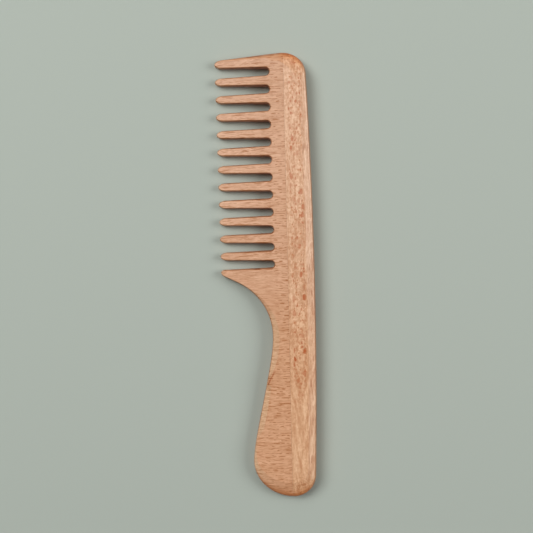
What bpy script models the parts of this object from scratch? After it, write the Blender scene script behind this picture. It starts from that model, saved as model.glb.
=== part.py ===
"""A wooden wide-tooth comb with a handle, made of two boards glued edge to edge.

The tooth board has its grain along the teeth and carries a tongue. The spine has its grain along the
comb and carries the groove. The comb is drawn in its own plan: X runs from the glue line towards the
back, Y runs from the foot towards the head, and Z is square to the middle plane of the wedge-shaped
thickness. An empty then lays the comb on its rear face, centred on the origin.
"""
import math

import bmesh
import bpy
from mathutils import Vector

# Spine and back, in metres from the glue line
SPINE_WIDTH = 0.0114
BACK_BOW_RADIUS = 2.25
BACK_PEAK_SHARE = 0.44
HEAD_CORNER = 0.0089
FOOT_BACK_CORNER = 0.0094

# Handle and neck
FOOT_POINT = 0.00045
FOOT_FRONT_HEIGHT = 0.0154
BELLY_REACH = 0.0166
NECK_REACH = 0.0072
NECK_HEIGHT = 0.0703
NECK_CORNER = 0.0164
BELLY_PULL_SHARE = 0.21
NECK_PULL_SHARE = 0.24

# Guard tooth, between the last slot and the neck
GUARD_ANGLE = math.radians(25.1)
GUARD_TIP_WIDTH = 0.0023
GUARD_NOSE_LENGTH = 0.00155

# Row of teeth, drawn from the slot nearest the guard tooth upwards
SLOT_COUNT = 12
SLOT_PITCH = 0.00742
SLOT_WIDTH = 0.00284
SLOT_FLARE = math.radians(1.5)
ROOT_REACH = 0.00575
TIP_REACH = 0.029
NOSE_LENGTH = 0.0029
ROW_LEAN = math.radians(0.36)

# End tooth and head edge
END_TOOTH_WIDTH = 0.00595
HEAD_SLOPE = math.radians(5.4)
CROWN_REACH = 0.002
SHOULDER_REACH = 0.009

# Thickness of the wedge at the back and at the tips of the teeth
BACK_THICKNESS = 0.0095
TIP_THICKNESS = 0.0035

# Widths of the rounded edges, from the outline in to the flat face
BACK_ROUNDING = 0.0034
HEAD_ROUNDING = 0.0085
CROWN_ROUNDING = 0.0038
SHOULDER_ROUNDING = 0.0022
TOOTH_ROUNDING = 0.0007
HANDLE_ROUNDING = 0.0033
FOOT_ROUNDING = 0.0068

# The handle's inner edge was worked in two hollows that meet in a slanting ridge. From the foot up,
# each pair is a share of the neck's height and a share of the edge's full width.
HANDLE_ROUNDING_SHARES = (
    (0.32, 0.42),
    (0.39, 0.36),
    (0.455, 0.85),
    (0.525, 1.0),
    (0.61, 0.82),
    (0.70, 0.58),
    (0.715, 0.21),
    (0.775, 0.6),
    (0.87, 0.94),
)

# A rounded edge is a round corner on top of a steady slope. Each pair is the share of the half
# thickness and the share of the edge's width that the corner takes.
ROUND_SHARES = (1.0, 1.0)
DOMED_SHARES = (0.5, 0.6)
BEVELLED_SHARES = (0.7, 0.14)
FOOT_SIDE_SHARE = 0.5
HEAD_SIDE_SHARE = 0.5
WALL_LIMIT_SHARE = 0.8

# Tongue and groove
TONGUE_DEPTH = 0.0024
TONGUE_THICKNESS = 0.0048
GLUE_GAP = 0.0003
OVERRUN = 0.01

# Numbers of steps along the curves
ARC_STEPS = 8
BACK_STEPS = 8
SHOULDER_STEPS = 6
HANDLE_STEPS = 24
ROUNDING_STEPS = 5
# Above 1 this puts more of those steps near the edge and near the flat face
DEPTH_POWER = 1.5


# Sizes that follow from the ones above
SLOT_RADIUS = SLOT_WIDTH / 2
SLOT_CENTRE = -(ROOT_REACH + SLOT_RADIUS)
HALF_BACK = BACK_THICKNESS / 2
HALF_TONGUE = TONGUE_THICKNESS / 2
TAPER = (BACK_THICKNESS - TIP_THICKNESS) / 2 / (SPINE_WIDTH + TIP_REACH)


def slot_half_width(across, rounding=0.0):
    """Half the width of a slot at a place along its length, with its edges cut back by the rounding."""
    at_centre = (SLOT_RADIUS + rounding) / math.cos(SLOT_FLARE)
    return at_centre + math.tan(SLOT_FLARE) * (SLOT_CENTRE - across)


# The guard tooth's underside is a straight line from the neck corner to the tip
NECK_CORNER_HEIGHT = NECK_HEIGHT + NECK_CORNER
UNDERSIDE_LENGTH = (TIP_REACH - NECK_REACH) / math.cos(GUARD_ANGLE)
UNDERSIDE_AT_TIP = NECK_CORNER_HEIGHT + math.tan(GUARD_ANGLE) * (TIP_REACH - NECK_REACH)
ROW_START = (
    UNDERSIDE_AT_TIP + GUARD_TIP_WIDTH
    + TIP_REACH * math.sin(ROW_LEAN) + slot_half_width(-TIP_REACH) * math.cos(ROW_LEAN)
)
ROW_LENGTH = (SLOT_COUNT - 1) * SLOT_PITCH
NOSE_HALF_WIDTH = SLOT_PITCH / 2 - slot_half_width(NOSE_LENGTH - TIP_REACH)
TOOTH_EDGE = min(TOOTH_ROUNDING, WALL_LIMIT_SHARE * NOSE_HALF_WIDTH)


def from_row(across, along):
    """Plan point of a place in the leaning frame of the row of teeth."""
    return Vector((
        across * math.cos(ROW_LEAN) - along * math.sin(ROW_LEAN),
        ROW_START + across * math.sin(ROW_LEAN) + along * math.cos(ROW_LEAN),
    ))


def to_row(point):
    """Place in the leaning frame of the row of teeth of a plan point."""
    rise = point.y - ROW_START
    return Vector((
        point.x * math.cos(ROW_LEAN) + rise * math.sin(ROW_LEAN),
        rise * math.cos(ROW_LEAN) - point.x * math.sin(ROW_LEAN),
    ))


# The head edge slopes from the crown down to the end tooth's tip
END_TOOTH_ROOT = from_row(SLOT_CENTRE, ROW_LENGTH + slot_half_width(SLOT_CENTRE) + END_TOOTH_WIDTH)


def head_edge(across):
    """Height of the straight head edge above the foot."""
    return END_TOOTH_ROOT.y + math.tan(HEAD_SLOPE) * (across - END_TOOTH_ROOT.x)


LENGTH = head_edge(-CROWN_REACH)
BACK_PEAK = BACK_PEAK_SHARE * LENGTH


def back_reach(height):
    """Reach of the slightly bowed back from the glue line."""
    return SPINE_WIDTH - (height - BACK_PEAK) ** 2 / (2 * BACK_BOW_RADIUS)


def half_thickness(across):
    """Half the thickness of the wedge, which thins steadily towards the teeth."""
    return HALF_BACK - TAPER * (SPINE_WIDTH - across)


def station(point, edge_shares=ROUND_SHARES):
    """A point of the outline that also carries the shape of the rounded edge there."""
    return Vector((point[0], point[1], edge_shares[0], edge_shares[1]))


def shifted(point, across, along=0.0):
    """The same kind of point, moved in the plan."""
    return point + Vector((across, along, 0.0, 0.0))


def edge_rise(depth, point):
    """Share of the half thickness that the rounded edge has reached at a depth."""
    turned = min(1.0, depth / point.w)
    corner = math.sqrt(1 - (1 - turned) ** 2)
    return point.z * corner + (1 - point.z) * depth


def sweep(start, leaving, arriving, end, steps):
    """Points along a Bezier curve, without its last one."""
    points = []
    for step in range(steps):
        passed = step / steps
        first = start.lerp(leaving, passed)
        middle = leaving.lerp(arriving, passed)
        last = arriving.lerp(end, passed)
        points.append(first.lerp(middle, passed).lerp(middle.lerp(last, passed), passed))
    return points


def turn(start, corner, end, angle=math.pi / 2):
    """A round corner that leaves its two legs smoothly, without its last point."""
    pull_share = 4 / 3 * math.tan(angle / 4) / math.tan(angle / 2)
    leaving = start.lerp(corner, pull_share)
    arriving = end.lerp(corner, pull_share)
    return sweep(start, leaving, arriving, end, ARC_STEPS)


def foot_floor(depth):
    """Height of the foot's border above its lowest point."""
    floor = FOOT_ROUNDING * depth
    return min(floor, WALL_LIMIT_SHARE * (FOOT_BACK_CORNER + FOOT_SIDE_SHARE * floor))


def foot_back(depth):
    """Round corner of the foot from its lowest point to the back."""
    floor = foot_floor(depth)
    side = FOOT_BACK_CORNER + FOOT_SIDE_SHARE * FOOT_ROUNDING * depth
    inset = BACK_ROUNDING * depth
    start = station((FOOT_POINT, floor), DOMED_SHARES)
    corner = station((back_reach(floor) - inset, floor), DOMED_SHARES)
    end = station((back_reach(side) - inset, side), BEVELLED_SHARES)
    return turn(start, corner, end)


def back_edge(depth):
    """The long, slightly bowed back, from the foot corner to the head corner."""
    low = FOOT_BACK_CORNER + FOOT_SIDE_SHARE * FOOT_ROUNDING * depth
    high = LENGTH - HEAD_CORNER - HEAD_SIDE_SHARE * HEAD_ROUNDING * depth
    inset = BACK_ROUNDING * depth
    points = []
    for step in range(BACK_STEPS):
        height = low + (high - low) * step / BACK_STEPS
        points.append(station((back_reach(height) - inset, height), BEVELLED_SHARES))
    return points


def head_corner(depth):
    """Round corner from the back to the crown, then the easy curve from the crown to the shoulder."""
    inset = BACK_ROUNDING * depth
    drop = HEAD_ROUNDING * depth
    side = LENGTH - HEAD_CORNER - HEAD_SIDE_SHARE * drop
    reach = back_reach(LENGTH)
    crown = station((-CROWN_REACH, LENGTH - CROWN_ROUNDING * depth), DOMED_SHARES)
    start = station((back_reach(side) - inset, side), BEVELLED_SHARES)
    corner = station((reach - inset, head_edge(reach - inset) - drop), DOMED_SHARES)
    points = turn(start, corner, crown)

    shoulder = station((-SHOULDER_REACH, head_edge(-SHOULDER_REACH) - SHOULDER_ROUNDING * depth))
    pull = (SHOULDER_REACH - CROWN_REACH) / 2
    leaving = shifted(crown, -pull, -pull * math.tan(HEAD_SLOPE))
    arriving = shifted(shoulder, pull, pull * math.tan(HEAD_SLOPE))
    points += sweep(crown, leaving, arriving, shoulder, SHOULDER_STEPS)
    points.append(shoulder)
    return points


def head_flank(depth):
    """Height of the end tooth's outer flank in the frame of the row."""
    crown = to_row(Vector((-CROWN_REACH, LENGTH)))
    slope = math.tan(HEAD_SLOPE - ROW_LEAN)
    return lambda across: crown.y + slope * (across - crown.x) - TOOTH_EDGE * depth


def guard_line_end(depth):
    """Place where the straight underside of the guard tooth runs into the neck's round corner."""
    along = min(NECK_CORNER, WALL_LIMIT_SHARE * UNDERSIDE_LENGTH)
    corner = Vector((-NECK_REACH, NECK_CORNER_HEIGHT))
    end = corner + along * Vector((-math.cos(GUARD_ANGLE), math.sin(GUARD_ANGLE)))
    return end + TOOTH_EDGE * depth * Vector((math.sin(GUARD_ANGLE), math.cos(GUARD_ANGLE)))


def guard_flank(depth):
    """Height of the guard tooth's underside in the frame of the row."""
    end = to_row(guard_line_end(depth))
    slope = math.tan(GUARD_ANGLE + ROW_LEAN)
    return lambda across: end.y + slope * (end.x - across)


def slot_flank(index, side, depth):
    """Height of one flank of a slot in the frame of the row, above (1) or below (-1) its middle."""
    middle = index * SLOT_PITCH
    return lambda across: middle + side * slot_half_width(across, TOOTH_EDGE * depth)


def nose(upper, lower, length, depth):
    """Bullet nose of a tooth between its two flanks."""
    points = []
    root = length - TIP_REACH
    reach = length - min(TOOTH_EDGE, WALL_LIMIT_SHARE * length) * depth
    for step in range(ARC_STEPS + 1):
        angle = math.pi * step / ARC_STEPS
        across = root - reach * math.sin(angle)
        middle = (upper(across) + lower(across)) / 2
        half = (upper(across) - lower(across)) / 2
        points.append(station(from_row(across, middle + half * math.cos(angle))))
    return points


def slot_end(index, depth):
    """Round end of a slot, from its upper flank to its lower one."""
    points = []
    radius = SLOT_RADIUS + TOOTH_EDGE * depth
    swing = math.pi - 2 * SLOT_FLARE
    for step in range(ARC_STEPS + 1):
        angle = swing / 2 - swing * step / ARC_STEPS
        across = SLOT_CENTRE + radius * math.cos(angle)
        points.append(station(from_row(across, index * SLOT_PITCH + radius * math.sin(angle))))
    return points


def tooth_row(depth):
    """All teeth and slots, from the end tooth at the head down to the guard tooth."""
    points = nose(head_flank(depth), slot_flank(SLOT_COUNT - 1, 1, depth), NOSE_LENGTH, depth)
    for index in reversed(range(SLOT_COUNT)):
        points += slot_end(index, depth)
        upper = slot_flank(index, -1, depth)
        if index > 0:
            points += nose(upper, slot_flank(index - 1, 1, depth), NOSE_LENGTH, depth)
        else:
            points += nose(upper, guard_flank(depth), GUARD_NOSE_LENGTH, depth)
    return points


def handle_rounding(height):
    """Width of the rounded inner edge of the handle at a height above the foot."""
    height_share = height / NECK_HEIGHT
    below = HANDLE_ROUNDING_SHARES[0]
    if height_share <= below[0]:
        return HANDLE_ROUNDING * below[1]
    for above in HANDLE_ROUNDING_SHARES[1:]:
        if height_share <= above[0]:
            passed = (height_share - below[0]) / (above[0] - below[0])
            return HANDLE_ROUNDING * (below[1] + passed * (above[1] - below[1]))
        below = above
    return HANDLE_ROUNDING * below[1]


def neck_and_handle(depth):
    """Round neck under the guard tooth, the handle's inner edge and its belly, down to the foot."""
    floor = foot_floor(depth)
    belly_side = FOOT_FRONT_HEIGHT + FOOT_SIDE_SHARE * FOOT_ROUNDING * depth

    line_end = station(guard_line_end(depth))
    neck = station((handle_rounding(NECK_HEIGHT) * depth - NECK_REACH, NECK_HEIGHT), BEVELLED_SHARES)
    rise = (line_end.x - neck.x) * math.tan(GUARD_ANGLE)
    corner = station((neck.x, line_end.y + rise), BEVELLED_SHARES)
    points = turn(line_end, corner, neck, math.pi / 2 - GUARD_ANGLE)

    span = NECK_HEIGHT - FOOT_FRONT_HEIGHT
    high = station((-NECK_REACH, NECK_HEIGHT), BEVELLED_SHARES)
    low = station((-BELLY_REACH, belly_side), BEVELLED_SHARES)
    below_high = shifted(high, 0.0, -NECK_PULL_SHARE * span)
    above_low = shifted(low, 0.0, BELLY_PULL_SHARE * span)
    for point in sweep(high, below_high, above_low, low, HANDLE_STEPS):
        points.append(shifted(point, handle_rounding(point.y) * depth))

    belly = shifted(low, handle_rounding(low.y) * depth)
    foot = station((FOOT_POINT, floor), DOMED_SHARES)
    points += turn(belly, station((belly.x, floor), DOMED_SHARES), foot)
    return points


def outline(depth):
    """Closed outline of the comb at a share of the rounding: 0 is its edge, 1 its flat face."""
    points = foot_back(depth) + back_edge(depth) + head_corner(depth)
    return points + tooth_row(depth) + neck_and_handle(depth)


def comb_blank():
    """The glued and shaped comb in one piece: a loft of outlines from one flat face to the other."""
    shape = bmesh.new()
    rings = []
    for step in range(-ROUNDING_STEPS, ROUNDING_STEPS + 1):
        turned = math.pi / 2 * abs(step) / ROUNDING_STEPS
        depth = 1 - math.cos(turned) ** DEPTH_POWER
        side = math.copysign(1, step)
        ring = []
        for point in outline(depth):
            height = side * edge_rise(depth, point) * half_thickness(point.x)
            ring.append(shape.verts.new((point.x, point.y, height)))
        rings.append(ring)

    for lower, upper in zip(rings, rings[1:]):
        for index in range(len(lower)):
            shape.faces.new((lower[index - 1], lower[index], upper[index], upper[index - 1]))
    shape.faces.new(rings[-1])
    shape.faces.new(reversed(rings[0]))
    bmesh.ops.recalc_face_normals(shape, faces=shape.faces)

    mesh = bpy.data.meshes.new("comb_blank")
    shape.to_mesh(mesh)
    shape.free()
    mesh.shade_smooth()
    mesh.set_sharp_from_angle(angle=math.radians(40))
    return mesh


def cutter(name, low, high):
    """A box between two corners that is cut away from a piece of wood."""
    low = Vector(low)
    high = Vector(high)
    bpy.ops.mesh.primitive_cube_add(size=1, location=(low + high) / 2, scale=high - low)
    box = bpy.context.object
    box.name = name
    box.hide_render = True
    box.display_type = "WIRE"
    move_to(box, cutters)
    return box


def cut(piece, tool):
    """Cuts a box away from a piece of wood."""
    modifier = piece.modifiers.new(tool.name, "BOOLEAN")
    modifier.operation = "DIFFERENCE"
    modifier.solver = "EXACT"
    modifier.object = tool


def wood(name, colour):
    """Oiled beech, as the photograph shows it on each of the two boards."""
    material = bpy.data.materials.new(name)
    material.use_nodes = True
    shader = material.node_tree.nodes["Principled BSDF"]
    shader.inputs["Base Color"].default_value = colour
    shader.inputs["Roughness"].default_value = 0.5
    shader.inputs["Metallic"].default_value = 0.0
    return material


def board(name, blank, colour):
    """One of the two boards, cut from the shaped blank."""
    piece = bpy.data.objects.new(name, blank)
    piece.data.materials.append(wood(name + "_beech", colour))
    comb.objects.link(piece)
    return piece


def move_to(item, collection):
    """Leaves an object in one collection only."""
    for owner in list(item.users_collection):
        owner.objects.unlink(item)
    collection.objects.link(item)


for old in list(bpy.data.objects):
    bpy.data.objects.remove(old)
comb = bpy.data.collections.new("wooden_comb")
cutters = bpy.data.collections.new("joint_cutters")
bpy.context.scene.collection.children.link(comb)
bpy.context.scene.collection.children.link(cutters)

tooth_board = board("tooth_board", comb_blank(), (0.66, 0.38, 0.22, 1.0))
spine = board("spine", comb_blank(), (0.74, 0.43, 0.26, 1.0))

# The joint: two rabbets leave the tongue on the tooth board, and the spine is cut back and grooved
far = SPINE_WIDTH + OVERRUN
start = -OVERRUN
finish = LENGTH + OVERRUN
reach = HALF_BACK + OVERRUN
past_tips = -(TIP_REACH + OVERRUN)
groove_depth = TONGUE_DEPTH + GLUE_GAP
groove_half = HALF_TONGUE + GLUE_GAP
cut(tooth_board, cutter("front_rabbet", (0.0, start, HALF_TONGUE), (far, finish, reach)))
cut(tooth_board, cutter("rear_rabbet", (0.0, start, -reach), (far, finish, -HALF_TONGUE)))
cut(tooth_board, cutter("tongue_edge", (TONGUE_DEPTH, start, -reach), (far, finish, reach)))
cut(spine, cutter("spine_edge", (past_tips, start, -reach), (GLUE_GAP, finish, reach)))
cut(spine, cutter("groove", (start, start, -groove_half), (groove_depth, finish, groove_half)))

# The empty lays the comb on its rear face and centres the outline on the origin
lean = math.atan(TAPER)
turned = []
for point in outline(0.0):
    turned.append(point.x * math.cos(lean))
heights = [point.y for point in outline(0.0)]
resting = bpy.data.objects.new("resting_frame", None)
comb.objects.link(resting)
resting.rotation_euler = (0.0, -lean, 0.0)
resting.location = (
    -(min(turned) + max(turned)) / 2,
    -(min(heights) + max(heights)) / 2,
    half_thickness(0.0) * math.cos(lean),
)
for item in list(comb.objects) + list(cutters.objects):
    if item is not resting:
        item.parent = resting
bpy.context.view_layer.update()
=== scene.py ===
# %% [markdown]
# # A wide-tooth wooden comb
# The comb is two pieces of beech, glued edge to edge before it was shaped. The teeth belong to a board
# whose grain runs along them, so that they don't snap. The back is a spine whose grain runs along the
# comb. This lesson loads the measured model as a fixed frame, shapes both pieces again with finer edges,
# and gives each the figure that beech shows when it is cut that way.

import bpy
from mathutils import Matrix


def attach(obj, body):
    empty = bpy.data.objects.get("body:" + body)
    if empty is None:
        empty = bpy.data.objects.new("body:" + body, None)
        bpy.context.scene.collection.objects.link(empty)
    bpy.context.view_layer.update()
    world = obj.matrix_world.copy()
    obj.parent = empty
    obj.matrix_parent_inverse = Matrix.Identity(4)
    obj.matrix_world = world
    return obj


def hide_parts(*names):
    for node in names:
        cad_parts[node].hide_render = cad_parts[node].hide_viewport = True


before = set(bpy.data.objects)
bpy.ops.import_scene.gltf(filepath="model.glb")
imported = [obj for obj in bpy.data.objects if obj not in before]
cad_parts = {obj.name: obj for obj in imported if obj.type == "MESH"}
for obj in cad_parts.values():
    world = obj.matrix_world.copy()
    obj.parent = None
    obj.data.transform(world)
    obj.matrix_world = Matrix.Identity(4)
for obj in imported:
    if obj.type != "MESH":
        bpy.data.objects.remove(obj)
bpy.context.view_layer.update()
print("packed pieces:", sorted(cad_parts))

# %% [markdown]
# ## Tools of the lesson
# bpy holds the scene and its operators, bmesh lets the code pick faces and edges by their place, and
# mathutils has vectors and curves. All lengths are in metres.

# %% Tools
import math

import bmesh
import bpy
from mathutils import Vector

MILLIMETRE = 0.001

# %% [markdown]
# ## The camera
# The comb lies on its rear face and is seen from straight above, a little from the side of the head.
# The lens and the distance are those that make the outline fit the photograph to a quarter of a pixel.

# %% Camera over the comb
CAMERA_PLACE = (0.00105, 0.03138, 0.43215)
CAMERA_TURN = (-3.537, 0.0883, -1.3603)
LENS = 67.54
SENSOR = 36.0

camera_data = bpy.data.cameras.new("camera_over_comb")
camera_data.lens = LENS
camera_data.sensor_width = SENSOR
camera_data.clip_start = 10 * MILLIMETRE
camera = bpy.data.objects.new("camera_over_comb", camera_data)
camera.location = CAMERA_PLACE
camera.rotation_euler = [math.radians(angle) for angle in CAMERA_TURN]
bpy.context.scene.collection.objects.link(camera)
bpy.context.scene.camera = camera
print("camera height over the floor:", round(camera.location.z, 3))

# %% [markdown]
# ## The sizes of the comb
# The outline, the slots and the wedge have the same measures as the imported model. The edges are drawn
# finer than there, and the handle's two hollows a little fuller. X runs from the glue line to the back, Y
# from the foot to the head, and Z is square to the middle of the wedge-shaped thickness.

# %% Sizes of the spine, the handle and the teeth
SPINE_WIDTH = 0.0114
BACK_BOW_RADIUS = 2.25
BACK_PEAK_SHARE = 0.44
HEAD_CORNER = 0.0089
FOOT_BACK_CORNER = 0.0094

FOOT_POINT = 0.00045
FOOT_FRONT_HEIGHT = 0.0154
BELLY_REACH = 0.0166
NECK_REACH = 0.0072
NECK_HEIGHT = 0.0703
NECK_CORNER = 0.0164
BELLY_PULL_SHARE = 0.21
NECK_PULL_SHARE = 0.24

GUARD_ANGLE = math.radians(25.1)
GUARD_TIP_WIDTH = 0.0023
GUARD_NOSE_LENGTH = 0.00155

SLOT_COUNT = 12
SLOT_PITCH = 0.00742
SLOT_WIDTH = 0.00284
SLOT_FLARE = math.radians(1.5)
ROOT_REACH = 0.00575
TIP_REACH = 0.029
NOSE_LENGTH = 0.0029
ROW_LEAN = math.radians(0.36)

END_TOOTH_WIDTH = 0.00595
HEAD_SLOPE = math.radians(5.4)
CROWN_REACH = 0.002
SHOULDER_REACH = 0.009

BACK_THICKNESS = 0.0095
TIP_THICKNESS = 0.0035

# %% Widths of the rounded edges, and how full each is
BACK_ROUNDING = 0.0034
HEAD_ROUNDING = 0.0085
CROWN_ROUNDING = 0.0038
SHOULDER_ROUNDING = 0.0022
TOOTH_ROUNDING = 0.0007
HANDLE_ROUNDING = 0.0033
FOOT_ROUNDING = 0.0068

# Along the inner edge of the handle, from the foot up: shares of the neck's height and of the width
HANDLE_ROUNDING_SHARES = (
    (0.32, 0.38),
    (0.36, 0.42),
    (0.43, 0.98),
    (0.525, 1.0),
    (0.61, 0.9),
    (0.69, 0.8),
    (0.715, 0.21),
    (0.775, 0.6),
    (0.87, 0.94),
)

# Each edge is a round corner on top of a steady slope: shares of the height and of the width
# that the corner takes. The slope takes the rest of the height over the whole width.
ROUND_SHARES = (1.0, 1.0)
DOMED_SHARES = (0.5, 0.6)
BEVELLED_SHARES = (0.7, 0.14)
FOOT_SIDE_SHARE = 0.5
HEAD_SIDE_SHARE = 0.5
WALL_LIMIT_SHARE = 0.8

# %% Sizes that follow from these
ARC_STEPS = 14
BACK_STEPS = 16
SHOULDER_STEPS = 10
HANDLE_STEPS = 48
FLANK_STEPS = 4
ROUNDING_STEPS = 12
DEPTH_POWER = 1.5
SLOT_RADIUS = SLOT_WIDTH / 2
SLOT_CENTRE = -(ROOT_REACH + SLOT_RADIUS)
HALF_BACK = BACK_THICKNESS / 2
TAPER = (BACK_THICKNESS - TIP_THICKNESS) / 2 / (SPINE_WIDTH + TIP_REACH)
LEAN = math.atan(TAPER)


def slot_half_width(across, rounding=0.0):
    """Half the width of a slot at a place along its length, with its edges cut back by the rounding."""
    at_centre = (SLOT_RADIUS + rounding) / math.cos(SLOT_FLARE)
    return at_centre + math.tan(SLOT_FLARE) * (SLOT_CENTRE - across)


NECK_CORNER_HEIGHT = NECK_HEIGHT + NECK_CORNER
UNDERSIDE_LENGTH = (TIP_REACH - NECK_REACH) / math.cos(GUARD_ANGLE)
UNDERSIDE_AT_TIP = NECK_CORNER_HEIGHT + math.tan(GUARD_ANGLE) * (TIP_REACH - NECK_REACH)
ROW_START = (
    UNDERSIDE_AT_TIP + GUARD_TIP_WIDTH
    + TIP_REACH * math.sin(ROW_LEAN) + slot_half_width(-TIP_REACH) * math.cos(ROW_LEAN)
)
ROW_LENGTH = (SLOT_COUNT - 1) * SLOT_PITCH
NOSE_HALF_WIDTH = SLOT_PITCH / 2 - slot_half_width(NOSE_LENGTH - TIP_REACH)
TOOTH_EDGE = min(TOOTH_ROUNDING, WALL_LIMIT_SHARE * NOSE_HALF_WIDTH)

# %% [markdown]
# ## The outline
# A comb like this is sawn to one outline and its edges are then rounded by hand. So the outline is drawn
# as a function of depth: at 0 it is the very edge of the comb, at 1 the border of the flat face. How far
# the border lies inside the edge differs from place to place: wide at the head and foot, narrow at the
# teeth, and along the handle it narrows to a ridge between two hollows that were worked apart.

# %% The row of teeth has a frame of its own, because it leans a little
def from_row(across, along):
    """Plan point of a place in the leaning frame of the row of teeth."""
    return Vector((
        across * math.cos(ROW_LEAN) - along * math.sin(ROW_LEAN),
        ROW_START + across * math.sin(ROW_LEAN) + along * math.cos(ROW_LEAN),
    ))


def to_row(point):
    """Place in the leaning frame of the row of teeth of a plan point."""
    rise = point.y - ROW_START
    return Vector((
        point.x * math.cos(ROW_LEAN) + rise * math.sin(ROW_LEAN),
        rise * math.cos(ROW_LEAN) - point.x * math.sin(ROW_LEAN),
    ))


END_TOOTH_ROOT = from_row(SLOT_CENTRE, ROW_LENGTH + slot_half_width(SLOT_CENTRE) + END_TOOTH_WIDTH)


def head_edge(across):
    """Height of the straight head edge above the foot."""
    return END_TOOTH_ROOT.y + math.tan(HEAD_SLOPE) * (across - END_TOOTH_ROOT.x)


LENGTH = head_edge(-CROWN_REACH)
BACK_PEAK = BACK_PEAK_SHARE * LENGTH


def back_reach(height):
    """Reach of the slightly bowed back from the glue line."""
    return SPINE_WIDTH - (height - BACK_PEAK) ** 2 / (2 * BACK_BOW_RADIUS)


def half_thickness(across):
    """Half the thickness of the wedge, which thins steadily towards the teeth."""
    return HALF_BACK - TAPER * (SPINE_WIDTH - across)


def station(point, edge_shares=ROUND_SHARES):
    """A point of the outline that also carries the shape of the rounded edge there."""
    return Vector((point[0], point[1], edge_shares[0], edge_shares[1]))


def shifted(point, across, along=0.0):
    """The same kind of point, moved in the plan."""
    return point + Vector((across, along, 0.0, 0.0))


def edge_rise(depth, point):
    """Share of the half thickness that the rounded edge has reached at a depth."""
    turned = min(1.0, depth / point.w)
    corner = math.sqrt(1 - (1 - turned) ** 2)
    return point.z * corner + (1 - point.z) * depth


def sweep(start, leaving, arriving, end, steps):
    """Points along a Bezier curve, without its last one."""
    points = []
    for step in range(steps):
        share = step / steps
        first = start.lerp(leaving, share)
        middle = leaving.lerp(arriving, share)
        last = arriving.lerp(end, share)
        points.append(first.lerp(middle, share).lerp(middle.lerp(last, share), share))
    return points


def turn(start, corner, end, angle=math.pi / 2):
    """A round corner that leaves its two legs smoothly, without its last point."""
    pull_share = 4 / 3 * math.tan(angle / 4) / math.tan(angle / 2)
    leaving = start.lerp(corner, pull_share)
    arriving = end.lerp(corner, pull_share)
    return sweep(start, leaving, arriving, end, ARC_STEPS)


print("length from foot to crown in millimetres:", round(LENGTH / MILLIMETRE, 2))

# %% [markdown]
# ### Foot, back and head
# These are drawn from the lowest point of the foot, up the bowed back and round the head corner to the
# shoulder, where the row of teeth starts.

# %% Foot, back and head
def foot_floor(depth):
    """Height of the foot's border above its lowest point."""
    floor = FOOT_ROUNDING * depth
    return min(floor, WALL_LIMIT_SHARE * (FOOT_BACK_CORNER + FOOT_SIDE_SHARE * floor))


def foot_back(depth):
    """Round corner of the foot from its lowest point to the back."""
    floor = foot_floor(depth)
    side = FOOT_BACK_CORNER + FOOT_SIDE_SHARE * FOOT_ROUNDING * depth
    inset = BACK_ROUNDING * depth
    start = station((FOOT_POINT, floor), DOMED_SHARES)
    corner = station((back_reach(floor) - inset, floor), DOMED_SHARES)
    end = station((back_reach(side) - inset, side), BEVELLED_SHARES)
    return turn(start, corner, end)


def back_edge(depth):
    """The long, slightly bowed back, from the foot corner to the head corner."""
    low = FOOT_BACK_CORNER + FOOT_SIDE_SHARE * FOOT_ROUNDING * depth
    high = LENGTH - HEAD_CORNER - HEAD_SIDE_SHARE * HEAD_ROUNDING * depth
    inset = BACK_ROUNDING * depth
    points = []
    for step in range(BACK_STEPS):
        height = low + (high - low) * step / BACK_STEPS
        points.append(station((back_reach(height) - inset, height), BEVELLED_SHARES))
    return points


def head_corner(depth):
    """Round corner from the back to the crown, then the easy curve from the crown to the shoulder."""
    inset = BACK_ROUNDING * depth
    drop = HEAD_ROUNDING * depth
    side = LENGTH - HEAD_CORNER - HEAD_SIDE_SHARE * drop
    reach = back_reach(LENGTH)
    crown = station((-CROWN_REACH, LENGTH - CROWN_ROUNDING * depth), DOMED_SHARES)
    start = station((back_reach(side) - inset, side), BEVELLED_SHARES)
    corner = station((reach - inset, head_edge(reach - inset) - drop), DOMED_SHARES)
    points = turn(start, corner, crown)

    shoulder = station((-SHOULDER_REACH, head_edge(-SHOULDER_REACH) - SHOULDER_ROUNDING * depth))
    pull = (SHOULDER_REACH - CROWN_REACH) / 2
    drop_share = math.tan(HEAD_SLOPE)
    leaving = shifted(crown, -pull, -pull * drop_share)
    arriving = shifted(shoulder, pull, pull * drop_share)
    points += sweep(crown, leaving, arriving, shoulder, SHOULDER_STEPS)
    points.append(shoulder)
    return points


# %% [markdown]
# ### Teeth and slots
# Each tooth is the space between two slots, with a bullet nose. The end tooth is bounded by the head
# edge and the guard tooth by its straight underside, so a tooth is drawn from any two flanks.

# %% Flanks, noses and slot ends
def head_flank(depth):
    """Height of the end tooth's outer flank in the frame of the row."""
    crown = to_row(Vector((-CROWN_REACH, LENGTH)))
    slope = math.tan(HEAD_SLOPE - ROW_LEAN)
    return lambda across: crown.y + slope * (across - crown.x) - TOOTH_EDGE * depth


def guard_line_end(depth):
    """Place where the straight underside of the guard tooth runs into the neck's round corner."""
    along = min(NECK_CORNER, WALL_LIMIT_SHARE * UNDERSIDE_LENGTH)
    corner = Vector((-NECK_REACH, NECK_CORNER_HEIGHT))
    end = corner + along * Vector((-math.cos(GUARD_ANGLE), math.sin(GUARD_ANGLE)))
    return end + TOOTH_EDGE * depth * Vector((math.sin(GUARD_ANGLE), math.cos(GUARD_ANGLE)))


def guard_flank(depth):
    """Height of the guard tooth's underside in the frame of the row."""
    end = to_row(guard_line_end(depth))
    slope = math.tan(GUARD_ANGLE + ROW_LEAN)
    return lambda across: end.y + slope * (end.x - across)


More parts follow.
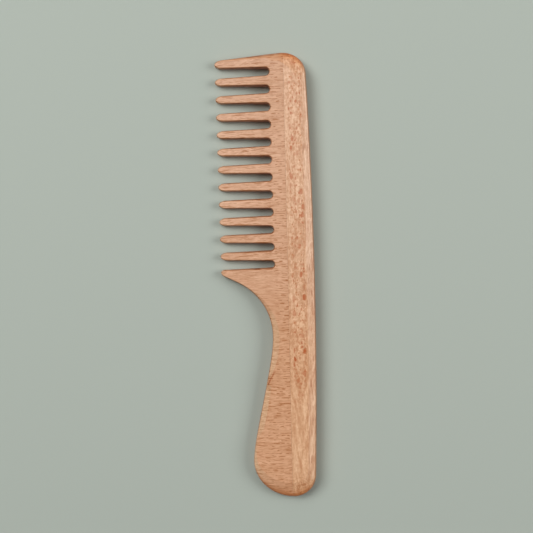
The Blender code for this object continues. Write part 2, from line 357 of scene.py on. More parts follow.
def slot_flank(index, side, depth):
    """Height of one flank of a slot in the frame of the row, above (1) or below (-1) its middle."""
    middle = index * SLOT_PITCH
    return lambda across: middle + side * slot_half_width(across, TOOTH_EDGE * depth)


def nose(upper, lower, length, depth):
    """Bullet nose of a tooth between its two flanks."""
    points = []
    root = length - TIP_REACH
    reach = length - min(TOOTH_EDGE, WALL_LIMIT_SHARE * length) * depth
    for step in range(ARC_STEPS + 1):
        angle = math.pi * step / ARC_STEPS
        across = root - reach * math.sin(angle)
        middle = (upper(across) + lower(across)) / 2
        half = (upper(across) - lower(across)) / 2
        points.append(station(from_row(across, middle + half * math.cos(angle))))
    return points


def slot_end(index, depth):
    """Round end of a slot, from its upper flank to its lower one."""
    points = []
    radius = SLOT_RADIUS + TOOTH_EDGE * depth
    swing = math.pi - 2 * SLOT_FLARE
    for step in range(ARC_STEPS + 1):
        angle = swing / 2 - swing * step / ARC_STEPS
        across = SLOT_CENTRE + radius * math.cos(angle)
        points.append(station(from_row(across, index * SLOT_PITCH + radius * math.sin(angle))))
    return points


# %% The whole row, from the end tooth down to the guard tooth
def flank(start, end):
    """Points along a straight flank, between its two ends."""
    return [start.lerp(end, step / FLANK_STEPS) for step in range(1, FLANK_STEPS)]


def tooth_row(depth):
    """All teeth and slots, from the end tooth at the head down to the guard tooth."""
    points = nose(head_flank(depth), slot_flank(SLOT_COUNT - 1, 1, depth), NOSE_LENGTH, depth)
    for index in reversed(range(SLOT_COUNT)):
        root = slot_end(index, depth)
        points += flank(points[-1], root[0]) + root
        upper = slot_flank(index, -1, depth)
        if index > 0:
            tip = nose(upper, slot_flank(index - 1, 1, depth), NOSE_LENGTH, depth)
        else:
            tip = nose(upper, guard_flank(depth), GUARD_NOSE_LENGTH, depth)
        points += flank(points[-1], tip[0]) + tip
    return points


# %% [markdown]
# ### Neck and handle
# The inner edge of the handle is one long curve from the guard tooth to the foot. Its rounding is
# read off a short list of heights, and runs straight from each to the next.

# %% Neck and handle
def handle_rounding(height):
    """Width of the rounded inner edge of the handle at a height above the foot."""
    height_share = height / NECK_HEIGHT
    below = HANDLE_ROUNDING_SHARES[0]
    if height_share <= below[0]:
        return HANDLE_ROUNDING * below[1]
    for above in HANDLE_ROUNDING_SHARES[1:]:
        if height_share <= above[0]:
            passed = (height_share - below[0]) / (above[0] - below[0])
            return HANDLE_ROUNDING * (below[1] + passed * (above[1] - below[1]))
        below = above
    return HANDLE_ROUNDING * below[1]


def neck_and_handle(depth):
    """Round neck under the guard tooth, the handle's inner edge and its belly, down to the foot."""
    floor = foot_floor(depth)
    belly_side = FOOT_FRONT_HEIGHT + FOOT_SIDE_SHARE * FOOT_ROUNDING * depth

    line_end = station(guard_line_end(depth))
    neck = station((handle_rounding(NECK_HEIGHT) * depth - NECK_REACH, NECK_HEIGHT), BEVELLED_SHARES)
    rise = (line_end.x - neck.x) * math.tan(GUARD_ANGLE)
    corner = station((neck.x, line_end.y + rise), BEVELLED_SHARES)
    points = turn(line_end, corner, neck, math.pi / 2 - GUARD_ANGLE)

    span = NECK_HEIGHT - FOOT_FRONT_HEIGHT
    high = station((-NECK_REACH, NECK_HEIGHT), BEVELLED_SHARES)
    low = station((-BELLY_REACH, belly_side), BEVELLED_SHARES)
    below_high = shifted(high, 0.0, -NECK_PULL_SHARE * span)
    above_low = shifted(low, 0.0, BELLY_PULL_SHARE * span)
    for point in sweep(high, below_high, above_low, low, HANDLE_STEPS):
        points.append(shifted(point, handle_rounding(point.y) * depth))

    belly = shifted(low, handle_rounding(low.y) * depth)
    foot = station((FOOT_POINT, floor), DOMED_SHARES)
    points += turn(belly, station((belly.x, floor), DOMED_SHARES), foot)
    return points


def outline(depth):
    """Closed outline of the comb at a share of the rounding: 0 is its edge, 1 its flat face."""
    points = foot_back(depth) + back_edge(depth) + head_corner(depth)
    return points + tooth_row(depth) + neck_and_handle(depth)


print("points round the outline:", len(outline(0.0)))

# %% [markdown]
# ## The blank
# A solid with a free outline could be a curve with a bevel, but a curve has one bevel all round, and this
# edge changes all the way. So a ring of edges is laid on the outline and extruded towards the front
# face. After each extrusion the new rim is pulled onto the outline of its own depth. The last rim gets
# the flat face. Front and rear are alike about the middle plane, so a Mirror modifier makes the rear.

# %% Pull a rim onto the outline of its depth
def rim_points(turned):
    """Points of the rim after a turn from the edge (0) to the flat face (a quarter turn)."""
    depth = 1 - math.cos(turned) ** DEPTH_POWER
    points = []
    for point in outline(depth):
        height = edge_rise(depth, point) * half_thickness(point.x)
        points.append(Vector((point.x, point.y, height)))
    return points


def extrude_rim(piece, places, points):
    """Extrudes the selected rim and pulls each new corner onto its point."""
    bpy.ops.mesh.extrude_edges_move(TRANSFORM_OT_translate={"value": (0.0, 0.0, 0.0)})
    shape = bmesh.from_edit_mesh(piece.data)
    shape.verts.ensure_lookup_table()
    new_places = {}
    for corner in [vert for vert in shape.verts if vert.select]:
        for edge in corner.link_edges:
            other = edge.other_vert(corner)
            if not other.select:
                new_places[corner.index] = places[other.index]
    for index, place in new_places.items():
        shape.verts[index].co = points[place]
    bmesh.update_edit_mesh(piece.data)
    return new_places


# %% Raise the blank from its edge to the front face, and mirror it
bpy.ops.object.select_all(action="DESELECT")
edge_points = rim_points(0.0)
bpy.ops.mesh.primitive_circle_add(vertices=len(edge_points), radius=LENGTH / 2, fill_type="NOTHING")
blank = bpy.context.object
blank.name = "blank"
for corner, point in zip(blank.data.vertices, edge_points):
    corner.co = point

bpy.ops.object.mode_set(mode="EDIT")
bpy.ops.mesh.select_all(action="SELECT")
places = {index: index for index in range(len(edge_points))}
for step in range(1, ROUNDING_STEPS + 1):
    turned = math.pi / 2 * step / ROUNDING_STEPS
    places = extrude_rim(blank, places, rim_points(turned))
bpy.ops.mesh.edge_face_add()
bpy.ops.object.mode_set(mode="OBJECT")

mirror = blank.modifiers.new("rear_half", "MIRROR")
mirror.use_axis = (False, False, True)
mirror.merge_threshold = MILLIMETRE / 1000
bpy.ops.object.modifier_apply(modifier=mirror.name)
bpy.ops.object.mode_set(mode="EDIT")
bpy.ops.mesh.select_all(action="SELECT")
bpy.ops.mesh.normals_make_consistent(inside=False)
bpy.ops.object.mode_set(mode="OBJECT")
print("faces of the blank:", len(blank.data.polygons))

# %% [markdown]
# ## Tongue and groove
# The boards meet in a tongue and groove, and its end shows at the head and the foot, where the rounding
# cuts through it. Both pieces start as copies of the blank, so that their faces run into each other.
# What each lacks is cut away with boxes, as a saw would, and a hair's breadth is left for the glue.

# %% Cut the two boards out of the blank
TONGUE_DEPTH = 0.0024
TONGUE_THICKNESS = 0.0048
GLUE_FILM = 0.00004
OVERRUN = 0.01
HALF_TONGUE = TONGUE_THICKNESS / 2


def pick_up(piece):
    """Makes a piece the only one that is selected, and the active one."""
    bpy.ops.object.select_all(action="DESELECT")
    piece.select_set(True)
    bpy.context.view_layer.objects.active = piece


def board(name):
    """A copy of the blank with a mesh of its own."""
    pick_up(blank)
    bpy.ops.object.duplicate()
    piece = bpy.context.object
    piece.name = name
    piece.data.name = name
    return piece


def saw_off(piece, low, high):
    """Cuts a box between two corners away from a piece of wood."""
    bpy.ops.object.select_all(action="DESELECT")
    middle = (Vector(low) + Vector(high)) / 2
    bpy.ops.mesh.primitive_cube_add(size=1, location=middle, scale=Vector(high) - Vector(low))
    waste = bpy.context.object
    pick_up(piece)
    saw = piece.modifiers.new("saw", "BOOLEAN")
    saw.operation = "DIFFERENCE"
    saw.solver = "EXACT"
    saw.object = waste
    bpy.ops.object.modifier_apply(modifier=saw.name)
    bpy.data.objects.remove(waste)


far = SPINE_WIDTH + OVERRUN
below = -OVERRUN
above = LENGTH + OVERRUN
outside = HALF_BACK + OVERRUN
past_tips = -(TIP_REACH + OVERRUN)
groove = HALF_TONGUE + GLUE_FILM

tooth_board = board("board_of_teeth")
saw_off(tooth_board, (0.0, below, HALF_TONGUE), (far, above, outside))
saw_off(tooth_board, (0.0, below, -outside), (far, above, -HALF_TONGUE))
saw_off(tooth_board, (TONGUE_DEPTH, below, -outside), (far, above, outside))

spine = board("long_grained_spine")
saw_off(spine, (past_tips, below, -outside), (GLUE_FILM, above, outside))
saw_off(spine, (below, below, -groove), (TONGUE_DEPTH + GLUE_FILM, above, groove))
bpy.data.objects.remove(blank)
print("faces:", len(tooth_board.data.polygons), len(spine.data.polygons))

# %% [markdown]
# ## Lay the comb down
# The comb was drawn about its middle plane, but it lies on its rear face, which leans by half the wedge.
# The object is turned and moved, and both are then applied, so that its place is in its mesh.

# %% Turn the boards onto their rear face
SHARP_ANGLE = math.radians(40)

edge_outline = outline(0.0)
turned_x = [point.x * math.cos(LEAN) for point in edge_outline]
heights = [point.y for point in edge_outline]
RESTING_PLACE = (
    -(min(turned_x) + max(turned_x)) / 2,
    -(min(heights) + max(heights)) / 2,
    half_thickness(0.0) * math.cos(LEAN),
)

for piece in (tooth_board, spine):
    pick_up(piece)
    piece.rotation_euler = (0.0, -LEAN, 0.0)
    piece.location = RESTING_PLACE
    bpy.ops.object.transform_apply(location=True, rotation=True, scale=True)
    bpy.ops.object.shade_smooth_by_angle(angle=SHARP_ANGLE)
    even = piece.modifiers.new("even_faces", "WEIGHTED_NORMAL")
    even.keep_sharp = True
    bpy.ops.object.modifier_apply(modifier=even.name)
print("resting place in millimetres:", [round(side / MILLIMETRE, 2) for side in RESTING_PLACE])

# %% [markdown]
# ## Wood
# Beech has three things that the eye knows it by: rays, which are ribbons of tissue that run from the
# heart to the bark; fibres and pores along the grain; and soft growth rings. All three run through the
# solid wood, so the pattern isn't laid on the surface as a picture would be. It is worked out in space,
# in millimetres along the grain, outwards from the heart and round the tree, and each board shows it as
# it was cut. On the tooth board the rays point out of the face, and their ends are short dark dashes, row
# beside row. On the spine they lie almost in the face, and show as small reddish flecks.
# That takes many sums. So what a socket gives is wrapped in a small class, and a plus or a times
# between two of them adds the node that works it out.

# %% Values that nodes work out, point by point
class Value:
    """What a socket gives. Arithmetic with it adds nodes to its tree."""

    def __init__(self, socket):
        self.socket = socket
        self.tree = socket.id_data

    def __add__(self, other):
        return calculate("ADD", self, other)

    def __sub__(self, other):
        return calculate("SUBTRACT", self, other)

    def __rsub__(self, other):
        return calculate("SUBTRACT", other, self)

    def __mul__(self, other):
        return calculate("MULTIPLY", self, other)

    def __truediv__(self, other):
        return calculate("DIVIDE", self, other)

    def __abs__(self):
        return calculate("ABSOLUTE", self)


# %% Nodes, what feeds them, and one step of arithmetic
def add(tree, kind, **settings):
    """A new node of a tree, with its settings."""
    made = tree.nodes.new("ShaderNode" + kind)
    for name, value in settings.items():
        setattr(made, name, value)
    return made


def feed(socket, source):
    """Feeds a socket from a value of its tree, or gives it a plain number, vector or colour."""
    if isinstance(source, Value):
        source.tree.links.new(source.socket, socket)
    else:
        socket.default_value = source


def calculate(operation, *sources):
    """One step of arithmetic on numbers, or on vectors if the first value among the sources is one."""
    known = next(source for source in sources if isinstance(source, Value))
    kind = "VectorMath" if known.socket.type == "VECTOR" else "Math"
    made = add(known.tree, kind, operation=operation)
    for socket, source in zip(made.inputs, sources):
        feed(socket, source)
    return Value(made.outputs["Value" if operation in ("DOT_PRODUCT", "LENGTH") else 0])


# %% Vectors, apart and together
def split(vector):
    """The three numbers of a vector, under the names X, Y and Z."""
    made = add(vector.tree, "SeparateXYZ")
    feed(made.inputs[0], vector)
    return {name: Value(made.outputs[name]) for name in "XYZ"}


def join(*numbers):
    """A vector made of two or three numbers."""
    made = add(numbers[0].tree, "CombineXYZ")
    for socket, number in zip(made.inputs, numbers):
        feed(socket, number)
    return Value(made.outputs[0])


# %% Fades, blends and noise
NOISE_MIDDLE = 0.5


def fade(value, start, end, first=0.0, last=1.0, way="SMOOTHSTEP"):
    """Goes gently from first to last while a value goes from start to end, and stays between them."""
    made = add(value.tree, "MapRange", interpolation_type=way)
    for name, source in (
        ("Value", value), ("From Min", start), ("From Max", end), ("To Min", first), ("To Max", last),
    ):
        feed(made.inputs[name], source)
    return Value(made.outputs["Result"])


def ramp(value, start, end, first, last):
    """Goes straight from first to last while a value goes from start to end."""
    return fade(value, start, end, first, last, "LINEAR")


def blend(share, first, second, way="MIX"):
    """Two colours blended by a share. Sockets 6 and 7 of a Mix node are its colours."""
    made = add(first.tree, "Mix", data_type="RGBA", blend_type=way)
    for number, source in ((0, share), (6, first), (7, second)):
        feed(made.inputs[number], source)
    return Value(made.outputs[2])


def noise(place, detail=2.0, roughness=0.5):
    """Cloudy noise at a place. Where the place is multiplied by a small number, it is drawn out."""
    made = add(place.tree, "TexNoise", noise_dimensions="3D")
    for name, source in (
        ("Vector", place), ("Scale", 1.0), ("Detail", detail), ("Roughness", roughness),
    ):
        feed(made.inputs[name], source)
    return Value(made.outputs[0])


def waver(place, reach=1.0, detail=2.0):
    """The same noise, but about 0, and with a reach of its own."""
    return (noise(place, detail) - NOISE_MIDDLE) * reach


# %% Groups of nodes
def group(name, inputs, outputs):
    """A new group with sockets of each kind: its tree, the values that it is given, and its ends."""
    made = bpy.data.node_groups.new(name, "ShaderNodeTree")
    for in_out, sockets in (("INPUT", inputs), ("OUTPUT", outputs)):
        for kind, labels in sockets.items():
            for label in labels:
                made.interface.new_socket(name=label, in_out=in_out, socket_type="NodeSocket" + kind)
    start = made.nodes.new("NodeGroupInput")
    given = {socket.name: Value(socket) for socket in start.outputs if socket.name}
    return made, given, made.nodes.new("NodeGroupOutput").inputs


def place_group(tree, placed, sources):
    """Places a group in a tree, feeds its sockets by name, and gives what comes out of it by name."""
    made = tree.nodes.new("ShaderNodeGroup")
    made.node_tree = placed
    for label, source in sources.items():
        feed(made.inputs[label], source)
    return {socket.name: Value(socket) for socket in made.outputs}


# %% [markdown]
# ### Rays and pores
# A ray is a thin ribbon, and a pore a thin tube. There are far too many to model, so a group draws them:
# a Voronoi texture cuts space into long cells of the right height, reach and thickness, a share of the
# cells is kept, and each kept cell holds one sliver. Where rays end in the face they stand in rows, which
# cells don't give. So a second group cuts the wood into thin layers, and breaks each into dashes.

# %% Node group for slivers that lie along the grain
slivers, sliver, sliver_ends = group(
    "slivers",
    {"Vector": ("Place", "Size"), "Float": ("Share", "Core", "Rim")},
    {"Float": ("Mask", "Tone")},
)
cells = add(slivers, "TexVoronoi", voronoi_dimensions="3D", feature="F1")
cells.inputs["Scale"].default_value = 1.0
cells.inputs["Randomness"].default_value = 1.0
feed(cells.inputs["Vector"], sliver["Place"] / sliver["Size"])
chance = add(slivers, "SeparateColor")
feed(chance.inputs[0], Value(cells.outputs["Color"]))
kept = calculate("LESS_THAN", Value(chance.outputs[0]), sliver["Share"])
body = fade(Value(cells.outputs["Distance"]), sliver["Rim"], sliver["Core"])
feed(sliver_ends["Mask"], kept * body)
feed(sliver_ends["Tone"], Value(chance.outputs[1]))
print("nodes that draw slivers:", len(slivers.nodes))

# %% Node group for rays that end in the face, row beside row
ROW_SWAY_SCALES = (0.13, 0.1, 0.4)
ROW_SWAY = 1.8
# Each row reads its dashes this far from its neighbour's, and they change slowly with depth
ROW_SPREAD = 7.3
DEPTH_SCALE = 0.05
# A dash starts where its noise passes this value, less half the share, and is full a little above
DASH_START = 0.75
DASH_SOFTNESS = 0.14

ray_rows, row, row_ends = group(
    "ray_rows",
    {"Vector": ("Place",), "Float": ("Pitch", "Length", "Share", "Thickness")},
    {"Float": ("Mask",)},
)
row_axes = split(row["Place"])
row_sway = waver(row["Place"] * ROW_SWAY_SCALES, ROW_SWAY, detail=1.0)
row_height = (row_axes["Z"] + row_sway) / row["Pitch"]
off_middle = abs(calculate("FRACT", row_height) - 0.5) * row["Pitch"]
thin = fade(off_middle, row["Thickness"], row["Thickness"] * 0.5)
dash_place = join(
    row_axes["X"] / row["Length"],
    calculate("FLOOR", row_height) * ROW_SPREAD,
    row_axes["Y"] * DEPTH_SCALE,
)
dash_start = DASH_START - row["Share"] * 0.5
dash = fade(noise(dash_place, detail=1.0), dash_start, dash_start + DASH_SOFTNESS)
feed(row_ends["Mask"], thin * dash)
print("nodes that draw rows:", len(ray_rows.nodes))

# %% [markdown]
# ### Beech
# One group holds the wood and serves both boards, because both are the same kind of tree. It takes a
# place in the wood and gives back colour, roughness and height. The grain wanders a little first, so that
# no line in it is straight. Rings, fibres, rays and pores follow, from the broadest to the finest, and
# the end grain's oil, painted shade and a painted sheen come last, over all of them. All sizes are in
# millimetres.

# %% Sockets of the beech group
beech, wood, wood_ends = group(
    "beech",
    {
        "Vector": ("Grain", "Patch Size", "Ray Size", "Fleck Size", "Lace Size", "Pore Size"),
        "Color": ("Pale", "Deep", "Ray", "Lace", "Pore", "Bevel Sheen Tint"),
        "Float": (
            "Patch Strength", "Figure", "Fibre Strength", "Ray Mask", "Ray Share", "Fleck Share",
            "Lace Share", "Lace Strength", "Pore Mask", "Pore Share", "Pore Strength", "Row Strength",
            "Streak Strength", "Ends And Foot Shade", "Bevel", "Steep Shade And Ridge", "Shade Towards Foot",
        ),
    },
    {"Color": ("Color",), "Float": ("Roughness", "Height")},
)
print("values that beech is given:", len(wood))

# %% The grain wanders
OUTWARD_WANDER = 5.0
SIDEWAYS_WANDER = 2.5
RIPPLE = 0.5
RIPPLE_ALONG_SHARE = 2.0

grain = wood["Grain"]
outward = waver(grain * (0.035, 0.09, 0.09), OUTWARD_WANDER)
sideways = waver(grain * (0.05, 0.11, 0.07), SIDEWAYS_WANDER)
ripple = waver(grain * (0.55, 0.8, 0.8), RIPPLE)
bent = grain + join(ripple * RIPPLE_ALONG_SHARE, outward, sideways + ripple)

# %% Growth rings are pale in spring and deepen until the ring ends
RING_WIDTH = 3.4
RING_POWER = 2.5
RING_END = 0.93
RING_STRENGTH = 0.35

ring_share = calculate("FRACT", split(bent)["Y"] / RING_WIDTH)
ring = calculate("POWER", ring_share, RING_POWER) * fade(ring_share, 1.0, RING_END)
cloud = ramp(noise(grain * (0.06, 0.22, 0.22), detail=3.0), 0.3, 0.7, first=0.0, last=0.4)
patches = fade(noise(bent / wood["Patch Size"]), 0.4, 0.6) * wood["Patch Strength"]
tone = ring * RING_STRENGTH + cloud + patches + wood["Figure"]
wood_colour = blend(tone, wood["Pale"], wood["Deep"])

# %% Fibres: fine ones, broader strands, and thin dark veins where a slow noise crosses its middle
# Where the fibres are darker they are browner too: powers of their brightness for red, green and blue
SHADE_POWERS = (0.85, 1.3, 1.7)

fibre = noise(bent * (0.24, 1.9, 1.9), detail=3.0, roughness=0.65)
fine = ramp(fibre, 0.25, 0.75, first=0.78, last=1.2)
strands = ramp(noise(bent * (0.11, 1.3, 1.3)), 0.3, 0.7, first=0.94, last=1.06)
veins = fade(abs(waver(bent * (0.13, 0.9, 0.9))), 0.035, 0.0, first=1.0, last=0.9)
bright = (fine * strands * veins - 1.0) * wood["Fibre Strength"] + 1.0
shade = add(beech, "CombineColor")
for socket, power in zip(shade.inputs, SHADE_POWERS):
    feed(socket, calculate("POWER", bright, power))
wood_colour = blend(1.0, wood_colour, Value(shade.outputs[0]), "MULTIPLY")
# Painted sheen: the bevels are painted paler and greyer, as the lamps' gloss makes them
wood_colour = blend(wood["Bevel"], wood_colour, wood["Bevel Sheen Tint"], "MULTIPLY")


# %% Slivers of three sizes of ray, and pores
def layer(kind, mask, strength, core, rim, faintest):
    """Strength of one kind of sliver at each place, each sliver with its own tone."""
    drawn = place_group(beech, slivers, {
        "Place": bent,
        "Size": wood[kind + " Size"],
        "Share": wood[kind + " Share"],
        "Core": core,
        "Rim": rim,
    })
    return drawn["Mask"] * ramp(drawn["Tone"], 0.0, 1.0, faintest, 1.0) * strength * wood[mask]


lace = layer("Lace", "Ray Mask", wood["Lace Strength"], core=0.3, rim=0.52, faintest=0.2)
flecks = layer("Fleck", "Ray Mask", strength=0.8, core=0.28, rim=0.48, faintest=0.2)
rays = layer("Ray", "Ray Mask", strength=0.95, core=0.34, rim=0.48, faintest=0.3)
rays = calculate("MAXIMUM", rays, flecks)
pores = layer("Pore", "Pore Mask", wood["Pore Strength"], core=0.25, rim=0.48, faintest=0.25)

# %% Rows of short dashes and of long streaks join the rays, fainter on a bevel
DASHES = {"Pitch": 1.05, "Length": 2.1, "Share": 0.56, "Thickness": 0.2}
STREAKS = {"Pitch": 1.35, "Length": 6.0, "Share": 0.55, "Thickness": 0.21}
BEVEL_LOSS_SHARE = 0.5

off_bevel = 1.0 - wood["Bevel"] * BEVEL_LOSS_SHARE
for measures, strength in ((DASHES, "Row Strength"), (STREAKS, "Streak Strength")):
    drawn = place_group(beech, ray_rows, {"Place": bent, **measures})
    rays = calculate("MAXIMUM", rays, drawn["Mask"] * wood[strength] * off_bevel)
for share, colour in ((lace, "Lace"), (rays, "Ray"), (pores, "Pore")):
    wood_colour = blend(share, wood_colour, wood[colour])

# %% End grain drinks oil, and painted shade deepens the wood
# Fibres that were cut across drink more oil, and the foot gets painted shade in that tint; the steep edges
# and the lower comb get painted shade
for kind, tint in (
    ("Ends And Foot Shade", (0.95, 0.5, 0.12, 1.0)),
    ("Steep Shade And Ridge", (0.74, 0.55, 0.42, 1.0)),
    ("Shade Towards Foot", (0.985, 0.935, 0.865, 1.0)),
):
    wood_colour = blend(wood[kind], wood_colour, tint, "MULTIPLY")
feed(wood_ends["Color"], wood_colour)
print("nodes that draw beech:", len(beech.nodes))

# %% The oil leaves a satin gloss, and pores and rays lie a little deeper than the fibres
PORE_ROUGHNESS = 0.15
FIBRE_HEIGHT = 0.5
PORE_DEPTH = 0.8
RAY_DEPTH = 0.15

satin = ramp(fibre, 0.3, 0.7, first=0.34, last=0.44)
feed(wood_ends["Roughness"], satin + pores * PORE_ROUGHNESS)
feed(wood_ends["Height"], fibre * FIBRE_HEIGHT - pores * PORE_DEPTH - rays * RAY_DEPTH)

# %% [markdown]
# ### End grain, and painted shade and sheen
# A wooden comb isn't of one colour all over. At the foot and at the back's corner at the head the spine's
# fibres are cut across, and the wood there has drunk the most oil. The foot of both boards also gets
# painted shade in the same tint. The bevels get a painted sheen, which makes them paler and greyer.
# The steep edges among the teeth and under the guard tooth get painted shade, weaker on the noses. A thin
# dark line runs along the short slanting ridge of the handle, and the comb gets a faint painted shade
# towards the foot. All this could be painted by hand, but then a picture would have to be stored. The
# surface's own normal and the place in the plan are enough here, and stay sharp at any distance.

# %% Where these places are: millimetres in the plan, and shares of a normal
HEAD_START = LENGTH / MILLIMETRE - 8.0
NEAR_TEETH = (76.0, 84.0)
OFF_SEAM = (-2.0, -6.0)
STEEPEST = 0.25
RIDGE_TOP = Vector((-6.1, 56.0, 0.0))
RIDGE_FOOT = Vector((-9.9, 49.2, 0.0))
RIDGE_BEND = 0.5

ends_and_painted_light, surface, ends_and_painted_light_outputs = group(
    "ends_and_painted_light",
    {"Vector": ("Normal", "Plan")},
    {"Float": ("Ends And Foot Shade", "Bevel", "Steep Shade And Ridge", "Shade Towards Foot")},
)
plan_across = split(surface["Plan"])["X"]
plan_height = split(surface["Plan"])["Y"]
lengthways = abs(calculate("DOT_PRODUCT", surface["Normal"], (0.0, 1.0, 0.0)))
level = abs(calculate("DOT_PRODUCT", surface["Normal"], (-math.sin(LEAN), 0.0, math.cos(LEAN))))

# %% End grain and painted shade at the ends, the bevels' painted sheen, and painted shade towards the foot
# At the foot both boards get painted shade, which on the spine lies over its real end grain; at the head
# corner the tint is the spine's end grain
foot_ends_and_shade = fade(plan_height, 18.0, 12.0)
at_head = fade(plan_height, HEAD_START, HEAD_START + 3.0, last=0.75)
at_head = at_head * fade(plan_across, -3.0, 1.0, first=0.2)
feed(ends_and_painted_light_outputs["Ends And Foot Shade"], calculate("MAXIMUM", foot_ends_and_shade, at_head) * fade(lengthways, 0.15, 0.8))

# Where the bevels are, for their painted sheen and their fainter rows
bevel = fade(level, 0.99, 0.97) * fade(level, 0.62, 0.75) * fade(lengthways, 0.25, 0.1)
feed(ends_and_painted_light_outputs["Bevel"], bevel * fade(plan_height, 62.0, 54.0, first=0.75))
# Painted shade: the comb gets a little darker and warmer towards the foot
feed(ends_and_painted_light_outputs["Shade Towards Foot"], fade(plan_height, 108.0, 58.0))

# %% Painted shade on the steep edges, and a thin dark line along the ridge, which takes the same tint
# Painted shade: steep edges are darkened, from gentler slopes on among the teeth and under the guard
# tooth, and less on the noses
teeth_and_guard = fade(plan_height, *NEAR_TEETH) * fade(plan_across, *OFF_SEAM)
steep_start = fade(teeth_and_guard, 0.0, 1.0, first=0.8, last=0.96)
off_noses = fade(plan_across, -23.0, -28.0, first=1.0, last=0.3)
steep_shade = fade(level, steep_start, STEEPEST) * off_noses

# A thin dark line along the short slanting ridge of the handle, drawn in the tint of the painted shade
down_ridge = (RIDGE_FOOT - RIDGE_TOP).normalized()
off_ridge = Vector((down_ridge.y, -down_ridge.x, 0.0))
from_top = surface["Plan"] - RIDGE_TOP
along_ridge = calculate("DOT_PRODUCT", from_top, down_ridge)
bend = waver(surface["Plan"] * (0.5, 0.5, 0.5), RIDGE_BEND, detail=1.0)
from_ridge = abs(calculate("DOT_PRODUCT", from_top, off_ridge) + bend)
ridge_line = fade(from_ridge, 0.4, 0.2) * fade(along_ridge, 0.0, 2.4) * fade(along_ridge, 8.2, 7.0)
feed(ends_and_painted_light_outputs["Steep Shade And Ridge"], calculate("MAXIMUM", steep_shade, ridge_line))
print("nodes that find the wear:", len(ends_and_painted_light.nodes))

# %% [markdown]
# ### One material for each board
# A Mapping node set to Texture undoes the lean and turns metres into millimetres of the comb's own plan.
# Each board then names which of the plan's axes runs along its grain, outwards, and round the tree, and
# gives the group its own colours and sizes. One material with a mask for the two boards would be
# possible, but the grain turns at the seam, and two materials let each board keep its own.

# %% Material of a board
BUMP_STRENGTH = 0.35
BUMP_HEIGHT = 0.05 * MILLIMETRE


def mapped(place, way, location, rotation, scale=(1.0, 1.0, 1.0)):
    """A place that is moved, turned and scaled."""
    made = add(place.tree, "Mapping", vector_type=way)
    for label, source in (
        ("Vector", place), ("Location", location), ("Rotation", rotation), ("Scale", scale),
    ):
        feed(made.inputs[label], source)
    return Value(made.outputs["Vector"])


def beech_material(name, masks, order, tilt, offset, values):
    """Oiled beech. The order names the plan's axes along the grain, outwards and round the tree."""
    material = bpy.data.materials.new(name)
    material.use_nodes = True
    tree = material.node_tree
    where = add(tree, "TexCoord")
    plan = mapped(
        Value(where.outputs["Object"]), "TEXTURE", RESTING_PLACE, (0.0, -LEAN, 0.0), [MILLIMETRE] * 3,
    )
    in_tree = split(mapped(plan, "POINT", offset, [math.radians(angle) for angle in tilt]))

    normal = Value(where.outputs["Normal"])
    sources = {"Grain": join(*[in_tree[axis] for axis in order])}
    sources.update(place_group(tree, ends_and_painted_light, {"Normal": normal, "Plan": plan}))
    sources.update(masks(plan))
    sources.update(values)
    drawn = place_group(tree, beech, sources)

    bump = add(tree, "Bump")
    bump.inputs["Strength"].default_value = BUMP_STRENGTH
    bump.inputs["Distance"].default_value = BUMP_HEIGHT
    feed(bump.inputs["Height"], drawn["Height"])
    shader = tree.nodes["Principled BSDF"]
    feed(shader.inputs["Base Color"], drawn["Color"])
    feed(shader.inputs["Roughness"], drawn["Roughness"])
    feed(shader.inputs["Normal"], Value(bump.outputs["Normal"]))
    return material


# %% Where the tooth board shows its figure, by millimetres across the comb and up from the foot
def across_the_comb(plan):
    """Millimetres from the glue line towards the back, with a slight wander."""
    return split(plan)["X"] + waver(plan * (0.3, 0.12, 0.3))


def board_masks(plan):
    """Dashes on the handle and by the seam, streaks on the teeth, and plainer wood in between."""
    across = across_the_comb(plan)
    height = split(plan)["Y"]
    on_handle = fade(height, 88.0, 56.0)
    by_seam = fade(across, -8.0, -4.5)
    dashed = calculate("MAXIMUM", on_handle, by_seam)

    # The neck and the guard tooth are of plainer wood, away from the seam, and the foot is calmer too
    off_seam = fade(across, -2.0, -6.0, first=0.05, last=0.55)
    plainer = fade(height, 58.0, 78.0) * fade(height, 100.0, 96.0) * off_seam
    figured = fade(height, 6.0, 30.0, first=0.7) - plainer

    # The wood is deeper at the teeth's roots, in the neck and at the head, and paler in the belly
    at_roots = fade(height, 90.0, 104.0, last=0.2) * fade(across, -14.0, -7.0)
    at_neck = fade(height, 60.0, 72.0, last=0.2) * fade(height, 92.0, 84.0)
    at_head = fade(height, 150.0, 178.0, last=0.4)
    in_belly = fade(height, 44.0, 20.0, last=-0.2)
    return {
        "Row Strength": ramp(dashed, 0.0, 1.0, first=0.5, last=0.92) * figured,
        "Streak Strength": ramp(dashed, 0.0, 1.0, first=0.9, last=0.5) * figured,
        "Pore Mask": fade(across, -16.0, -4.0, first=1.0, last=0.4),
        "Figure": at_roots + at_neck + at_head + in_belly,
        "Patch Strength": fade(across, -12.0, -6.0, first=0.2, last=0.08),
    }


# %% Where the spine shows its figure, in the same millimetres
ARROW_MIDDLE = 5.2
ARROW_SLOPE = 4.0
EYE_ACROSS = 3.9
EYE_HEIGHT = 6.0
EYE_FLATNESS = 1.4
EYE_UNEVENNESS = 6.0
EYE_LOOPS = 3.3


